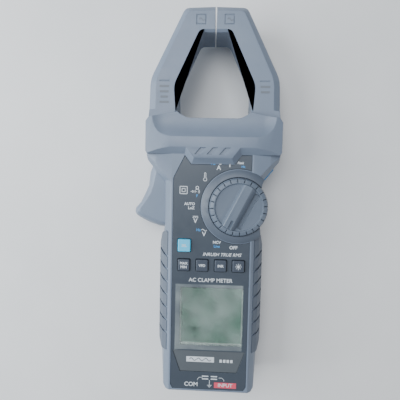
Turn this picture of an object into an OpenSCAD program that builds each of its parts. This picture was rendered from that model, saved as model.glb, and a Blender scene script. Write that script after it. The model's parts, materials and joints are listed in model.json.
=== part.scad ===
// Clamp meter with a two-sided opening jaw, a rotary function dial, keys, a display and input sockets.
// It lies on its back: X runs across, Y towards the jaws, Z out of the front face.
// The origin is on the flat rear face, on the centre line, half way along the meter.

/* [Meter] */
// Length over the jaws and the body
meter_length = 280; // [278:0.5:282]
// Width of the shoulder below the jaws
shoulder_w = 96.6; // [96:0.2:98]
// Width of the lower body between the grips
body_w = 74; // [73.6:0.2:74.4]
// Width of the narrow waist beside the dial
waist_w = 70.4; // [70:0.2:71]
// Height of the lower body's front face
front_z = 39.6; // [39.4:0.1:39.8]
// Height of the raised shoulder
shoulder_z = 44; // [43.6:0.1:44.4]
// Height at which the rear and front cases meet
split_z = 18; // [17:0.5:19]
// Wall thickness of the cases
wall = 2.3; // [2:0.1:2.5]

/* [Jaws] */
// Rear face of the jaws
jaw_rear_z = 6.5; // [6.4:0.1:6.6]
// Front face of the jaws
jaw_front_z = 36.5; // [36.2:0.1:36.5]
// Wall thickness of the jaw shells
jaw_wall = 2; // [1.8:0.1:2.2]
// Gap between the two jaw tips
tip_gap = 1; // [0.8:0.1:1.2]
// Distance of each jaw pivot from the centre line
pivot_x = 36; // [36:0.1:36]
// Position of the jaw pivots along the meter
pivot_y = 43; // [43:0.1:43]
// Radius of the pivot pins
pin_r = 3; // [2.8:0.1:3]

/* [Dial and keys] */
// Outer radius of the dial knob
knob_r = 20.6; // [20:0.1:20.6]
// Segments around the knob's rim
knob_segments = 24; // [20:1:28]
// Size of the four square keys
key_size = 8.6; // [8.2:0.1:8.8]
// Size of the select key
select_size = 9.2; // [9:0.1:9.4]
// Gap around each key
key_gap = 0.4; // [0.3:0.05:0.45]

/* [Display] */
// Width of the display window
window_w = 45.6; // [44:0.2:46]
// Length of the display window
window_l = 42.8; // [42:0.2:43]

/* [Sockets] */
// Bore radius of the socket contacts
socket_bore_r = 2; // [2:0.05:2]
// Distance of each socket from the centre line
socket_x = 12.7; // [12.5:0.1:13]

/* [Hidden] */
$fn = 64;

// General clearances
slip = 0.3;
eps = 0.01;

// Body outline
top_y = meter_length / 2;
bottom_y = -meter_length / 2;
shoulder_x = shoulder_w / 2;
side_x = body_w / 2;
waist_x = waist_w / 2;
crease_x = 29;
panel_x = 27.6;
opening_y = 61;
rear_edge = 3;
side_low_z = 7;
side_high_z = 24;
flank_mid_z = 34;
wing_side_z = 34;
shoulder_side_z = 39.5;
cavity_top_z = 36.2;
jaw_room_low_z = jaw_rear_z - slip;
jaw_room_high_z = jaw_front_z + slip;

// Front panel
panel_t = 1.2;
panel_z = front_z - panel_t;

// Dial
knob_x = 18.7;
knob_y = -1.2;
knob_room_r = knob_r + 0.5;
knob_floor_z = 37;
knob_stem_r = 5;
knob_turn = 63.4;
rotor_r = 10.8;
collar_r = 26.6;
collar_z = 41.6;

// Keys
key_y = -44;
key_xs = [-19.3, -6.1, 7.2, 20];
select_x = -19.2;
select_y = -29.8;
key_top_z = 41;
key_flange_z = 34.6;

// Hold key on the right shoulder slope
hold_x = 41.5;
hold_y = 23.15;
hold_z = 18;
hold_turn = -39.1;
hold_l = 12;
hold_h = 9;

// Display
window_x = 1.3;
window_y = -82;
film_z = front_z + 0.1;

// Circuit board
board_z = 28.6;
board_t = 1.6;
board_top = board_z + board_t;
board_screw_spots = [[-28, -114], [28, -114], [-28, -52], [28, -52]];

// Battery and its cover
battery_w = 26.5;
battery_l = 48.5;
battery_h = 17.5;
battery_y = -86;
cover_w = 54;
cover_l = 64;
cover_y = -83.5;
bay_wall = 1.2;
bay_top_z = 22.1;
cover_t = 2.3;
cover_gap = 0.5;
cover_screw_y = cover_y + cover_l / 2 - cover_gap - 5;
bay_end_y = cover_y + (cover_l - 5) / 2;
tab_top_z = 6.2;

// Sockets
socket_z = split_z;
socket_l = 22;
socket_r = 5.8;
shroud_r = 4.6;
contact_r = 3;
contact_l = 18;

// Jaws
jaw_mid_z = (jaw_rear_z + jaw_front_z) / 2;
jaw_edge_x = 47.2;
hub_r = 9.7;
hub_top_z = 31.8;
pin_room_r = pin_r + 0.05;
rocker_top_z = jaw_rear_z + 4.4;
root_floor_z = rocker_top_z + 0.1;
core_low_z = 13.2;
core_high_z = 29.8;
jaw_screw_spots = [[-19.6, 135.2], [-42.4, 88.4]];
jaw_screw_r = 1.3;

// Meshed gear sectors on the two rockers
gear_teeth = 48;
gear_step = 360 / gear_teeth;
gear_pitch_r = pivot_x;
gear_base_r = gear_pitch_r * cos(20);
gear_tip_r = gear_pitch_r + 1.3;
gear_root_r = gear_pitch_r - 1.75;
gear_slack = 0.2;

// Trigger
trigger_low_z = 11;
trigger_high_z = 27;
trigger_room = 0.4;
spring_y = 16.5;
spring_z = 20;
spring_seat_x = -17.5;

// Case screws
screw_spots = [[-27, -127], [27, -127], [-22, 24.5], [22, 24.5]];
screw_r = 1.5;
screw_head_r = 3;

case_grey = [0.40, 0.45, 0.52];
panel_grey = [0.27, 0.31, 0.36];
key_grey = [0.22, 0.25, 0.30];
steel = [0.72, 0.73, 0.75];
board_green = [0.10, 0.36, 0.22];
jet = [0.08, 0.08, 0.09];

// ---------- helpers ----------

function unit(v) = v / norm(v);

// The points of a corner b between a and c, cut back and rounded
function bend(a, b, c, cut, n) = cut == 0 ? [b] :
    let (s = b + cut * unit(a - b), e = b + cut * unit(c - b))
    [for (k = [0:n]) let (t = k / n) (1 - t) ^ 2 * s + 2 * t * (1 - t) * b + t ^ 2 * e];

// An outline with each corner rounded by its own cut
function soften(pts, cuts, n = 3) = [for (i = [0:len(pts) - 1])
    each bend(pts[(i + len(pts) - 1) % len(pts)], pts[i], pts[(i + 1) % len(pts)], cuts[i], n)];

// A right half and its mirror image, as one outline
function both_sides(half) = concat(half, [for (i = [len(half) - 1:-1:0]) [-half[i].x, half[i].y]]);

function mix(a, b, f) = [for (i = [0:len(a) - 1]) a[i] + (b[i] - a[i]) * f];

function inward(a, b) = let (d = unit(b - a)) [-d.y, d.x];

// An outline moved inwards by d all round
function inset(pts, d) = [for (i = [0:len(pts) - 1])
    let (b = pts[i], n1 = inward(pts[(i + len(pts) - 1) % len(pts)], b),
        n2 = inward(b, pts[(i + 1) % len(pts)]))
    b + d * (n1 + n2) / (1 + n1 * n2)];

function box_outline(w, l, x = 0, y = 0) =
    [[x + w / 2, y - l / 2], [x + w / 2, y + l / 2], [x - w / 2, y + l / 2], [x - w / 2, y - l / 2]];

// A closed solid through rings of points; each ring is [outline, height]
module stack(rings) {
    n = len(rings[0][0]);
    m = len(rings);
    points = [for (ring = rings) for (p = ring[0]) [p.x, p.y, ring[1]]];
    sides = [for (j = [0:m - 2]) for (i = [0:n - 1]) let (k = (i + 1) % n, a = j * n, b = a + n)
        each [[a + i, b + i, b + k], [a + i, b + k, a + k]]];
    bottom = [for (i = [0:n - 1]) i];
    top = [for (i = [n - 1:-1:0]) (m - 1) * n + i];
    polyhedron(points, concat(sides, [bottom, top]));
}

// A straight-sided solid from an outline
module slab(pts, low, high) {
    translate([0, 0, low]) linear_extrude(high - low) polygon(pts);
}

module rod(r, low, high, x = 0, y = 0) {
    translate([x, y, low]) cylinder(r = r, h = high - low);
}

// A cylinder along Y from y1 up to y2
module rod_y(r, y1, y2, x, z) {
    translate([x, y2, z]) rotate([90, 0, 0]) cylinder(r = r, h = y2 - y1);
}

// A solid with the given section (x, z), running along Y from y1 to y2
module along_y(section, y1, y2) {
    translate([0, y2, 0]) rotate([90, 0, 0]) linear_extrude(y2 - y1) polygon(section);
}

// A solid with the given section (y, z), running right across the meter
module along_x(section) {
    rotate([90, 0, 90]) linear_extrude(140, center = true) polygon(section);
}

// A solid that runs along the edge a to b; its section is (distance inwards from the edge, z)
module along_edge(a, b, section) {
    reach = 40;
    translate([a.x, a.y, 0]) rotate([0, 0, atan2(b.y - a.y, b.x - a.x)]) translate([-reach, 0, 0])
        rotate([90, 0, 90]) linear_extrude(norm(b - a) + 2 * reach) polygon(section);
}

// A pan-head screw with a cross slot, head at the low end
module screw(r, head_r, head_h, length) {
    slot_w = head_r * 0.32;
    slot_l = head_r * 1.3;
    difference() {
        union() {
            cylinder(r = head_r, h = head_h);
            cylinder(r = r, h = length);
        }
        translate([-slot_l / 2, -slot_w / 2, -eps]) cube([slot_l, slot_w, head_h * 0.55]);
        translate([-slot_w / 2, -slot_l / 2, -eps]) cube([slot_w, slot_l, head_h * 0.55]);
    }
}

// ---------- case ----------

base_half = [[30.5, bottom_y], [34, bottom_y + 3], [side_x - 1.2, -114], [side_x, -104], [side_x, -37],
    [side_x - 0.8, -25], [waist_x - 0.9, -14.5], [waist_x, 15.4], [shoulder_x, 31.5], [shoulder_x, 58.5],
    [46.3, 61.2], [26, 65.4], [24.3, 63.9], [18.5, opening_y]];
base_cuts = [0.5, 0.5, 4, 4, 4, 4, 4, 3, 1.2, 0.4, 0, 0, 0, 2];
tongue_edge = [[0, 0], [0, front_z], [3.6, shoulder_z], [6, 60], [60, 60], [60, 0]];
wing_low = [waist_x, 15.4];
wing_high = [shoulder_x, 31.5];
shoulder_half = [[44, 35], [46.8, 35], [shoulder_x, 37.6], [shoulder_x, 58.5], [46.3, 61.2], [26, 65.4],
    [24.3, 63.9], [18.5, opening_y]];
tongue_low = [15, 29];
tongue_high = [20.4, 36.2];

// Sections of the right half, as (x, z)
body_section = [[side_x - rear_edge, 0], [side_x - 0.9, rear_edge], [side_x, side_low_z], [side_x,
    side_high_z],
    [crease_x + 4.8, flank_mid_z], [crease_x + 1.4, front_z - 1.2], [crease_x, front_z]];
wing_section = [[shoulder_x - rear_edge, 0], [shoulder_x - 0.9, rear_edge], [shoulder_x, side_low_z],
    [shoulder_x, wing_side_z], [41, 37.4], [crease_x, front_z]];
shoulder_section = [[shoulder_x + 1, split_z], [shoulder_x + 1, shoulder_side_z - 0.3], [39.2, 42.3],
    [crease_x + 1.2, shoulder_z]];
body_room = [[side_x - wall - 1, wall], [side_x - wall, side_low_z], [side_x - wall, side_high_z - 1],
    [31.5, 32.6], [29.5, cavity_top_z]];
wing_room = [[44, wall], [46, side_low_z], [46, wing_side_z - 2.6], [40, 34.4], [29.5, cavity_top_z]];

function case_outline(d = 0) =
    soften(inset(both_sides(base_half), d), concat(base_cuts,
        [for (i = [len(base_cuts) - 1:-1:0]) base_cuts[i]]), 2);

// The wing that widens the body from the waist to the shoulder
module wing(section, d, top) {
    intersection() {
        along_y(both_sides(section), 8, 70);
        along_edge(wing_low, wing_high, [[d, -1], [d, 29.6 - d], [4.9 + d, top], [4.9 + d, top + 2],
            [90, top + 2], [90, -1]]);
        translate([0, 0, -1]) cube([60, 80, 60]);
    }
}

// The whole outer form of both cases, without the raised shoulder
module lower_form() {
    intersection() {
        slab(case_outline(), -1, front_z + 1);
        union() {
            along_y(both_sides(body_section), bottom_y - 1, 70);
            wing(wing_section, 0, front_z);
            mirror([1, 0, 0]) wing(wing_section, 0, front_z);
        }
        along_x([[bottom_y + 1.4, -1], [bottom_y + 1.4, 0], [bottom_y, 2.6], [bottom_y, 31],
            [bottom_y + 1.8, front_z],
            [bottom_y + 1.8, front_z + 2], [80, front_z + 2], [80, -1]]);
    }
}

module shoulder_form() {
    intersection() {
        slab(inset(both_sides(shoulder_half), -0.05), split_z, shoulder_z + 1);
        along_y(both_sides(shoulder_section), 30, 70);
        along_x([[35.8, 0], [35.8, front_z], [40.2, shoulder_z], [44, 60], [80, 60], [80, 0]]);
    }
    // tongue between the panel's slanted edges
    intersection() {
        slab(both_sides([tongue_low, tongue_high, [tongue_high.x, 44]]), jaw_room_high_z + 1, shoulder_z);
        along_x([[tongue_low.y, 0], [tongue_low.y, front_z], [32.8, shoulder_z], [35, 60], [80, 60],
            [80, 0]]);
        along_edge(tongue_low, tongue_high, tongue_edge);
        mirror([1, 0, 0]) along_edge(tongue_low, tongue_high, tongue_edge);
    }
}

// The finger scoop across the top of the shoulder
module scoop() {
    scoop_r = 23.5;
    scoop_x = 34;
    translate([0, 62, 62.5]) {
        rotate([0, 90, 0]) cylinder(r = scoop_r, h = 2 * scoop_x, center = true, $fn = 96);
        for (side = [-1, 1]) translate([side * scoop_x, 0, 0]) sphere(r = scoop_r, $fn = 96);
    }
}

// The raised ring that the dial legends stand on
module collar() {
    intersection() {
        translate([knob_x, knob_y, 0]) rotate_extrude($fn = 96)
            polygon([[knob_room_r - 2, 30], [collar_r, 30], [collar_r, front_z - 0.3], [collar_r - 0.6,
                front_z + 0.3],
                [knob_room_r + 0.5, collar_z], [knob_room_r - 2, collar_z]]);
        slab(case_outline(0.4), 30, collar_z + 1);
    }
}

// The space inside the lower body
module cavity() {
    intersection() {
        slab(case_outline(wall), 0, shoulder_z);
        union() {
            along_y(both_sides(body_room), bottom_y, 34);
            wing(wing_room, wall, cavity_top_z);
            mirror([1, 0, 0]) wing(wing_room, wall, cavity_top_z);
        }
        slab([[60, bottom_y], [60, 34], [-60, 34], [-60, bottom_y]], 0, shoulder_z);
    }
}

// The room for the jaw roots and rockers, open to the sides and to the jaws
module jaw_room() {
    slab(both_sides([[46.1, 37.5], [46.1, 40], [shoulder_x + 2, 40], [shoulder_x + 2, 68],
        [26.4, 68], [26.4, 62.4], [24.8, 61.2], [18.5, opening_y - 2.3]]), jaw_room_low_z, jaw_room_high_z);
    slab(both_sides([[44.5, 31], [46.1, 34.5], [46.1, 38]]), jaw_room_low_z, hub_top_z + slip);
}

trigger_outline = [[-34, -19.2], [-33.4, 18], [-33.4, 29.6], [-45.2, 29.6], [-47.9, 22.7], [-49, 12.7],
    [-51.3, 7.2], [-55.1, -0.6], [-59, -5], [-59.4, -7.8], [-58.6, -10.1], [-55.7, -12.2],
    [-47.9, -16.1], [-40, -18.6]];

// The side slot that the trigger moves in
module trigger_slot() {
    low = trigger_low_z - trigger_room;
    high = trigger_high_z + trigger_room;
    slab([[-20, -21.5], [-20, 31.6], [-shoulder_x + 2.2, 31.6], [-shoulder_x - 1, 27],
        [-shoulder_x - 1, -21.5]],
        low, high);
}

module case_boss(spot, low, high, r = 3.8) {
    rod(r, low, high, spot.x, spot.y);
}

module screw_holes() {
    for (spot = screw_spots) {
        rod(screw_r + 0.1, -1, 30, spot.x, spot.y);
        rod(screw_head_r + 0.4, -1, 5, spot.x, spot.y);
    }
}

module socket_holes() {
    for (x = [-socket_x, socket_x])
        rod_y(socket_r + 0.1, bottom_y - 1, bottom_y + 6, x, socket_z);
}

// The hold key's own frame: X out of the shoulder slope, Y along it
module at_hold() {
    translate([hold_x, hold_y, hold_z]) rotate([0, 0, hold_turn]) children();
}

module rear_case() color(case_grey) {
    difference() {
        union() {
            difference() {
                intersection() {
                    lower_form();
                    translate([-60, -150, -1]) cube([120, 230, split_z + 1]);
                }
                cavity();
                jaw_room();
                trigger_slot();
            }
            intersection() {
                union() {
                    for (spot = screw_spots) case_boss(spot, 0.5, split_z);
                    for (side = [-1, 1]) rod(6, 0.5, jaw_room_low_z, side * pivot_x, pivot_y);
                    // seat for the trigger spring
                    translate([spring_seat_x, spring_y - 5, 1]) cube([2, 10, spring_z + 4]);
                    // rim around the battery cover, and the closed bay above it
                    slab(box_outline(cover_w + 4, cover_l + 4, 0, cover_y), 1, cover_t + 2.3);
                    slab(box_outline(cover_w - 5 + 2 * bay_wall, cover_l - 5 + 2 * bay_wall, 0,
                        cover_y), 1, bay_top_z);
                    // socket cradles
                    for (x = [-socket_x, socket_x])
                        translate([x - 7.5, bottom_y + 14, 1]) cube([15, 3, socket_z - 1]);
                }
                lower_form();
            }
        }
        screw_holes();
        socket_holes();
        for (x = [-socket_x, socket_x]) rod_y(socket_r + 0.1, bottom_y + 13, bottom_y + 20, x, socket_z);
        for (side = [-1, 1]) rod(pin_r + 0.02, 2.4, jaw_room_low_z + 1, side * pivot_x, pivot_y);
        // hold key
        at_hold() translate([-6, -hold_l / 2 - key_gap, -hold_h / 2 - key_gap])
            cube([12, hold_l + 2 * key_gap, hold_h + 2 * key_gap]);
        // battery cover opening, and the lip that the cover rests on
        slab(box_outline(cover_w, cover_l, 0, cover_y), -1, cover_t + slip);
        slab(box_outline(cover_w - 5, cover_l - 5, 0, cover_y), tab_top_z, bay_top_z - bay_wall);
        slab(both_sides([[(cover_w - 5) / 2, cover_y - (cover_l - 5) / 2], [(cover_w - 5) / 2, bay_end_y],
            [4.5, bay_end_y], [4.5, cover_screw_y - 3.5]]), -1, tab_top_z + eps);
        rod(1.6, 0, tab_top_z + 1, 0, cover_screw_y);
        // recess for the rear label
        slab(soften(box_outline(44, 26, 0, -24), [2, 2, 2, 2]), -1, 0.9);
        // way out for the battery leads
        slab(box_outline(12, 4, 0, battery_y + battery_l / 2 + 2.4), bay_top_z - bay_wall - 1,
            bay_top_z + 1);
    }
}

module key_holes() {
    for (x = key_xs)
        slab(soften(box_outline(key_size + 2 * key_gap, key_size + 2 * key_gap, x, key_y), [1, 1, 1,
            1]), 30, 45);
    slab(soften(box_outline(select_size + 2 * key_gap, select_size + 2 * key_gap, select_x, select_y),
        [1, 1, 1, 1]),
        30, 45);
}

module front_case() color(case_grey) {
    difference() {
        union() {
            difference() {
                union() {
                    intersection() {
                        lower_form();
                        translate([-60, -150, split_z]) cube([120, 230, 40]);
                    }
                    shoulder_form();
                    collar();
                }
                cavity();
                jaw_room();
                trigger_slot();
                scoop();
            }
            intersection() {
                union() {
                    for (spot = screw_spots) case_boss(spot, split_z, front_z - 2);
                    for (spot = board_screw_spots) case_boss(spot, board_top + 0.1, front_z - 2, 2.6);
                    // tube that guides the knob's stem
                    rod(8, 33.8, knob_floor_z, knob_x, knob_y);
                    // floor of the dial recess
                    rod(knob_room_r + wall, 35, knob_floor_z, knob_x, knob_y);
                    for (side = [-1, 1]) rod(6, jaw_room_high_z, 41, side * pivot_x, pivot_y);
                    // socket caps
                    for (x = [-socket_x, socket_x])
                        translate([x - 7.5, bottom_y + 14, socket_z]) cube([15, 3, front_z - 2 - socket_z]);
                }
                union() {
                    lower_form();
                    shoulder_form();
                }
            }
        }
        // bed of the front panel
        translate([0, 0, panel_z]) linear_extrude(5) difference() {
            polygon(panel_outline(0.3));
            translate([knob_x, knob_y]) circle(r = collar_r + 0.1);
        }
        // dial recess and stem bore
        rod(knob_room_r, knob_floor_z, shoulder_z + 5, knob_x, knob_y);
        rod(knob_stem_r + 0.06, 30, knob_floor_z + 1, knob_x, knob_y);
        key_holes();
        slab(soften(box_outline(window_w + 0.4, window_l + 0.4, window_x, window_y), [1, 1, 1, 1]), 30, 45);
        for (side = [-1, 1]) rod(pin_r + 0.02, jaw_room_high_z - 1, 39.4, side * pivot_x, pivot_y);
        for (spot = screw_spots) rod(screw_r - 0.15, split_z - 1, 32, spot.x, spot.y);
        for (spot = board_screw_spots) rod(1, board_top - 1, 36, spot.x, spot.y);
        socket_holes();
        for (x = [-socket_x, socket_x]) rod_y(socket_r + 0.1, bottom_y + 13, bottom_y + 20, x, socket_z);
        at_hold() translate([-6, -hold_l / 2 - key_gap, -hold_h / 2 - key_gap])
            cube([12, hold_l + 2 * key_gap, hold_h + 2 * key_gap]);
        // three slanted marks sunk into the tongue
        for (x = [-9.1, -0.6, 8.2])
            slab([[x - 3.9, 35.2], [x - 0.1, 35.2], [x + 4.1, 40], [x + 0.3, 40]], shoulder_z - 0.8,
                shoulder_z + 1);
    }
}

// The panel's outline, g larger all round
function panel_outline(g) = inset([[26, -136.7], [panel_x, -134], [panel_x, 35.2], [20.45, 35.2],
    [15.3, 28.4],
    [-15.3, 28.4], [-19.8, 34.3], [-27, 19.8], [-panel_x, 18], [-panel_x, -134], [-26, -136.7]], -g);

label_outline = [[20.8, -123.5], [26.3, -107.9], [-26.3, -107.9], [-20.8, -123.5]];

module front_panel() color(panel_grey) {
    difference() {
        slab(panel_outline(0), panel_z, front_z);
        rod(collar_r + 0.4, panel_z - 1, front_z + 1, knob_x, knob_y);
        key_holes();
        slab(soften(box_outline(window_w + 0.4, window_l + 0.4, window_x, window_y), [1, 1, 1, 1]), 30, 45);
        slab(inset(label_outline, -0.15), panel_z + 0.4, front_z + 1);
    }
}

module label_plate() color([0.47, 0.51, 0.55]) {
    slab(label_outline, panel_z + 0.4, front_z - 0.35);
}

// ---------- grips ----------

groove_count = 7;

module grip(side) {
    // the pad's section across the body, and its outline seen from the front
    section = [[31.6, 37.4], [35, 34.4], [38.3, 27], [39.2, 22.5], [39.2, 10], [38.2, 6.6], [35.5,
        5.8], [20, 20]];
    deep = [[20, 36.2], [34, 33.7], [37.4, 26.7], [38.2, 22.3], [38.2, 10.2], [37.4, 7.5], [35.5, 6.8],
        [20, 20]];
    outline = [[30, -109], [36, -109], [38.4, -103.5], [39.4, -95], [39.4, -44], [38.6, -31], [36.6,
        -22.5], [33, -20],
        [30, -22]];
    difference() {
        intersection() {
            translate([0, -15, 0]) rotate([90, 0, 0]) linear_extrude(96)
                polygon([for (i = [len(section) - 1:-1:0]) section[i]]);
            slab(outline, 0, 40);
        }
        lower_form();
        if (side > 0) collar();
        if (side < 0) mirror([1, 0, 0]) trigger_slot();
        for (i = [0:groove_count - 1]) {
            slant = 34 - i * 4;
            translate([34, -37 - 9.7 * i, 0]) rotate([0, 0, slant]) difference() {
                translate([-9, -0.65, 3]) cube([18, 1.3, 36]);
                rotate([0, 0, -slant]) translate([-34, 20, 0]) rotate([90, 0, 0]) linear_extrude(40)
                    polygon([for (k = [len(deep) - 1:-1:0]) deep[k]]);
            }
        }
    }
}

module left_grip() color(case_grey) mirror([1, 0, 0]) grip(-1);
module right_grip() color(case_grey) grip(1);

// ---------- display ----------

module display_window() color([0.75, 0.8, 0.8, 0.5]) {
    slab(soften(box_outline(window_w, window_l, window_x, window_y), [1, 1, 1, 1]), 37.2, front_z - 0.3);
}

module display_film() color([0.85, 0.88, 0.9, 0.4]) {
    slab(soften(box_outline(49, 48.8, -0.5, -82.4), [1.5, 1.5, 1.5, 1.5]), film_z, film_z + 0.15);
}

module lcd_glass() color([0.45, 0.56, 0.52]) {
    slab(box_outline(44, 41, window_x, window_y), 34.2, 36.4);
}

module lcd_frame() color([0.85, 0.85, 0.82]) {
    difference() {
        slab(box_outline(48.4, 45.4, window_x, window_y), board_top + 0.1, 36.1);
        slab(box_outline(44.3, 41.3, window_x, window_y), board_top - 1, 37);
    }
}

module backlight() color([0.92, 0.93, 0.9]) {
    slab(box_outline(43.6, 33, window_x, window_y), 31.4, 34);
}

module zebra_strips() color([0.2, 0.2, 0.22]) {
    for (side = [-1, 1])
        slab(box_outline(40, 2.4, window_x, window_y + side * 18.6), board_top + 0.05, 34.15);
}

// ---------- keys ----------

module key_cap(x, y, size) {
    cap = soften(box_outline(size, size, x, y), [0.9, 0.9, 0.9, 0.9]);
    stack([[cap, key_flange_z + 1], [cap, key_top_z - 0.7], [inset(cap, 0.25), key_top_z - 0.25],
        [inset(cap, 0.6), key_top_z]]);
    slab(box_outline(size + 2, size + 2, x, y), key_flange_z, key_flange_z + 1.3);
}

module keypad() color([0.5, 0.52, 0.55]) {
    difference() {
        union() {
            slab([[27, -50], [27, -38.5], [-12.6, -38.5], [-12.6, -23.5], [-26, -23.5], [-26, -50]],
                board_top + 0.05, 31.4);
            for (x = key_xs) translate([x, key_y, 31.3]) cylinder(r1 = 4, r2 = 2.6, h = 2.1);
            translate([select_x, select_y, 31.3]) cylinder(r1 = 4, r2 = 2.6, h = 2.1);
        }
        // clear of the board screw bosses
        for (spot = board_screw_spots) rod(3.2, 30, 33, spot.x, spot.y);
    }
}

module select_key() color([0.16, 0.66, 0.86]) key_cap(select_x, select_y, select_size);
module peak_key() color(key_grey) key_cap(key_xs[0], key_y, key_size);
module filter_key() color(key_grey) key_cap(key_xs[1], key_y, key_size);
module inrush_key() color(key_grey) key_cap(key_xs[2], key_y, key_size);
module light_key() color(key_grey) key_cap(key_xs[3], key_y, key_size);

module hold_key() color([0.06, 0.40, 0.66]) {
    face = soften(box_outline(hold_l, hold_h), [1.6, 1.6, 1.6, 1.6]);
    at_hold() rotate([90, 0, 90]) {
        translate([0, 0, -3]) stack([[face, 0], [face, 3.4], [inset(face, 0.5), 4.3], [inset(face,
            1.3), 4.8]]);
        slab(box_outline(hold_l + 2, hold_h + 1.6), -4.2, -2.6);
    }
}

module hold_switch() color(jet) {
    at_hold() {
        // small upright board with the switch on it
        translate([-7.6, -3.5, wall + 0.05 - hold_z]) cube([0.8, 7, 22]);
        translate([-6.85, -2.2, -2.2]) cube([1.3, 4.4, 4.4]);
        translate([-5.6, 0, 0]) rotate([0, 90, 0]) cylinder(r = 1.2, h = 0.5);
    }
}

// ---------- dial ----------

module at_knob() {
    translate([knob_x, knob_y, 0]) children();
}

module knob() color(case_grey) {
    rim_low = 38;
    rim_top = 45.6;
    disc_z = 44.6;
    bar_top = 48.4;
    disc_r = 16.6;
    at_knob() difference() {
        union() {
            rotate_extrude($fn = 96)
                polygon([[0, knob_floor_z + slip], [knob_r - 1, knob_floor_z + slip], [knob_r, rim_low],
                    [knob_r, 42.6], [knob_r - 1, 44.8], [disc_r + 0.9, rim_top], [disc_r + 0.2, rim_top],
                    [disc_r - 0.3, disc_z], [0, disc_z]]);
            rod(knob_stem_r, 31.4, knob_floor_z + 1);
            // finger bar with sloping sides, inside the disc
            intersection() {
                rotate([0, 0, knob_turn]) translate([0, 0, 0]) rotate([90, 0, 90]) linear_extrude(34,
                    center = true)
                    polygon([[-5.2, disc_z - 1], [5.2, disc_z - 1], [5.2, disc_z + 0.4], [4, bar_top - 0.5],
                        [3.4, bar_top], [-1.9, bar_top], [-2.6, bar_top - 0.5], [-5.2, disc_z + 0.4]]);
                rod(disc_r - 0.2, disc_z - 2, bar_top + 1);
            }
        }
        // notches between the rim segments
        for (i = [0:knob_segments - 1]) rotate([0, 0, i * 360 / knob_segments + 3.4])
            translate([disc_r + 0.7, -0.3, 42.2]) cube([6, 0.6, 6]);
        // finger recesses beside the bar
        rotate([0, 0, knob_turn]) {
            translate([-13.2, -8.6, disc_z - 1.7]) cube([26.4, 3.2, 4]);
            translate([9.5, -9.4, disc_z - 1.9]) cube([4.6, 3.8, 4]);
            // pointer slot at the bar's end
            translate([-18, -1.6, bar_top - 1.1]) cube([8, 2.2, 3]);
        }
    }
}

module knob_rotor() color([0.86, 0.85, 0.8]) {
    at_knob() difference() {
        union() {
            rod(rotor_r, 31.2, 33.2);
            rod(7.4, 31.2, 33.5);
        }
        rod(knob_stem_r + 0.05, 31, 34);
        for (i = [0:8]) rotate([0, 0, i * 21 - 147]) translate([rotor_r + 0.1, 0,
            31]) cylinder(r = 0.8, h = 3, $fn = 24);
    }
}

module wiper_contacts() color([0.85, 0.62, 0.25]) {
    at_knob() for (r = [6.6, 8.2, 9.8]) for (side = [0, 180]) rotate([0, 0, side + 10 * r])
        translate([r - 0.6, -2.6, board_top + 0.1]) cube([1.2, 5.2, 0.85]);
}

// ---------- electronics ----------

module main_board() color(board_green) {
    outline = both_sides([[24, -132], [29.3, -127], [30, -110], [30, 21]]);
    difference() {
        slab(outline, board_z, board_top);
        for (spot = screw_spots) rod(4.3, 27, 32, spot.x, spot.y);
        for (spot = board_screw_spots) rod(1.15, 27, 32, spot.x, spot.y);
        rod(5.6, 27, 32, knob_x, knob_y);
        // clear of the socket caps
        slab([[22, -127], [22, -122], [-22, -122], [-22, -127]], 27, 32);
    }
}

module board_chips() color(jet) {
    for (spot = [[0, -35, 14, 14], [16, -60, 9, 9], [-16, -60, 10, 7], [0, -100, 12, 6]])
        slab(box_outline(spot[2], spot[3], spot[0], spot[1]), board_z - 2, board_z - 0.02);
}

module board_screws() color(steel) {
    for (spot = board_screw_spots)
        translate([spot.x, spot.y, board_z - 1.55]) screw(0.98, 2.2, 1.5, 6.5);
}

module buzzer() color(jet) {
    difference() {
        rod(6.5, 21.5, board_z - 0.02, 18, -26);
        rod(1.2, 21, 23, 18, -26);
    }
}

module surge_parts() color([0.16, 0.30, 0.62]) {
    for (x = [-socket_x, socket_x]) {
        rod_y(2.6, -117, -113.5, x * 0.5, 25.5);
        translate([x, -106, 22.5]) cylinder(r = 3.2, h = 6);
    }
}

module battery() color([0.72, 0.60, 0.25]) {
    slab(soften(box_outline(battery_w, battery_l, 0, battery_y), [1.5, 1.5, 1.5, 1.5]), 3.2,
        3.2 + battery_h);
    for (x = [-6.3, 6.3])
        rod_y(3.2, battery_y + battery_l / 2 - eps, battery_y + battery_l / 2 + 2.4, x,
            3.2 + battery_h / 2);
}

module battery_snap() color(jet) {
    y = battery_y + battery_l / 2 + 0.3;
    difference() {
        translate([-12, y, 6.5]) cube([24, 4, 11]);
        for (x = [-6.3, 6.3]) rod_y(3.3, y - 1, y + 2.3, x, 3.2 + battery_h / 2);
    }
}

module battery_leads() color([0.75, 0.1, 0.1]) {
    for (x = [-4, 4]) {
        rod(0.7, 17.55, board_z - 0.05, x, battery_y + battery_l / 2 + 2.4);
    }
}

module battery_cover() color(case_grey) {
    w = cover_w - 2 * cover_gap;
    l = cover_l - 2 * cover_gap;
    difference() {
        union() {
            slab(box_outline(w, l - cover_t / 2, 0, cover_y + cover_t / 4), 0, cover_t);
            // round edge that the cover turns on
            translate([-w / 2, cover_y - (l - cover_t) / 2, cover_t / 2]) rotate([0, 90, 0])
                cylinder(r = cover_t / 2, h = w);
            // rib that steadies the battery
            slab(box_outline(20, 1.6, 0, battery_y), cover_t - eps, 3);
        }
        // finger grooves
        for (i = [0:4]) slab(box_outline(26 - 3 * i, 1.1, 0, cover_y + 22 - 3.2 * i), -1, 0.7);
        rod(2.4, -1, 1.7, 0, cover_screw_y);
        rod(1.4, -1, 4, 0, cover_screw_y);
    }
}

module battery_cover_screw() color(steel) {
    translate([0, cover_screw_y, 0.15]) screw(1.25, 2.2, 1.5, 5.2);
}

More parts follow.
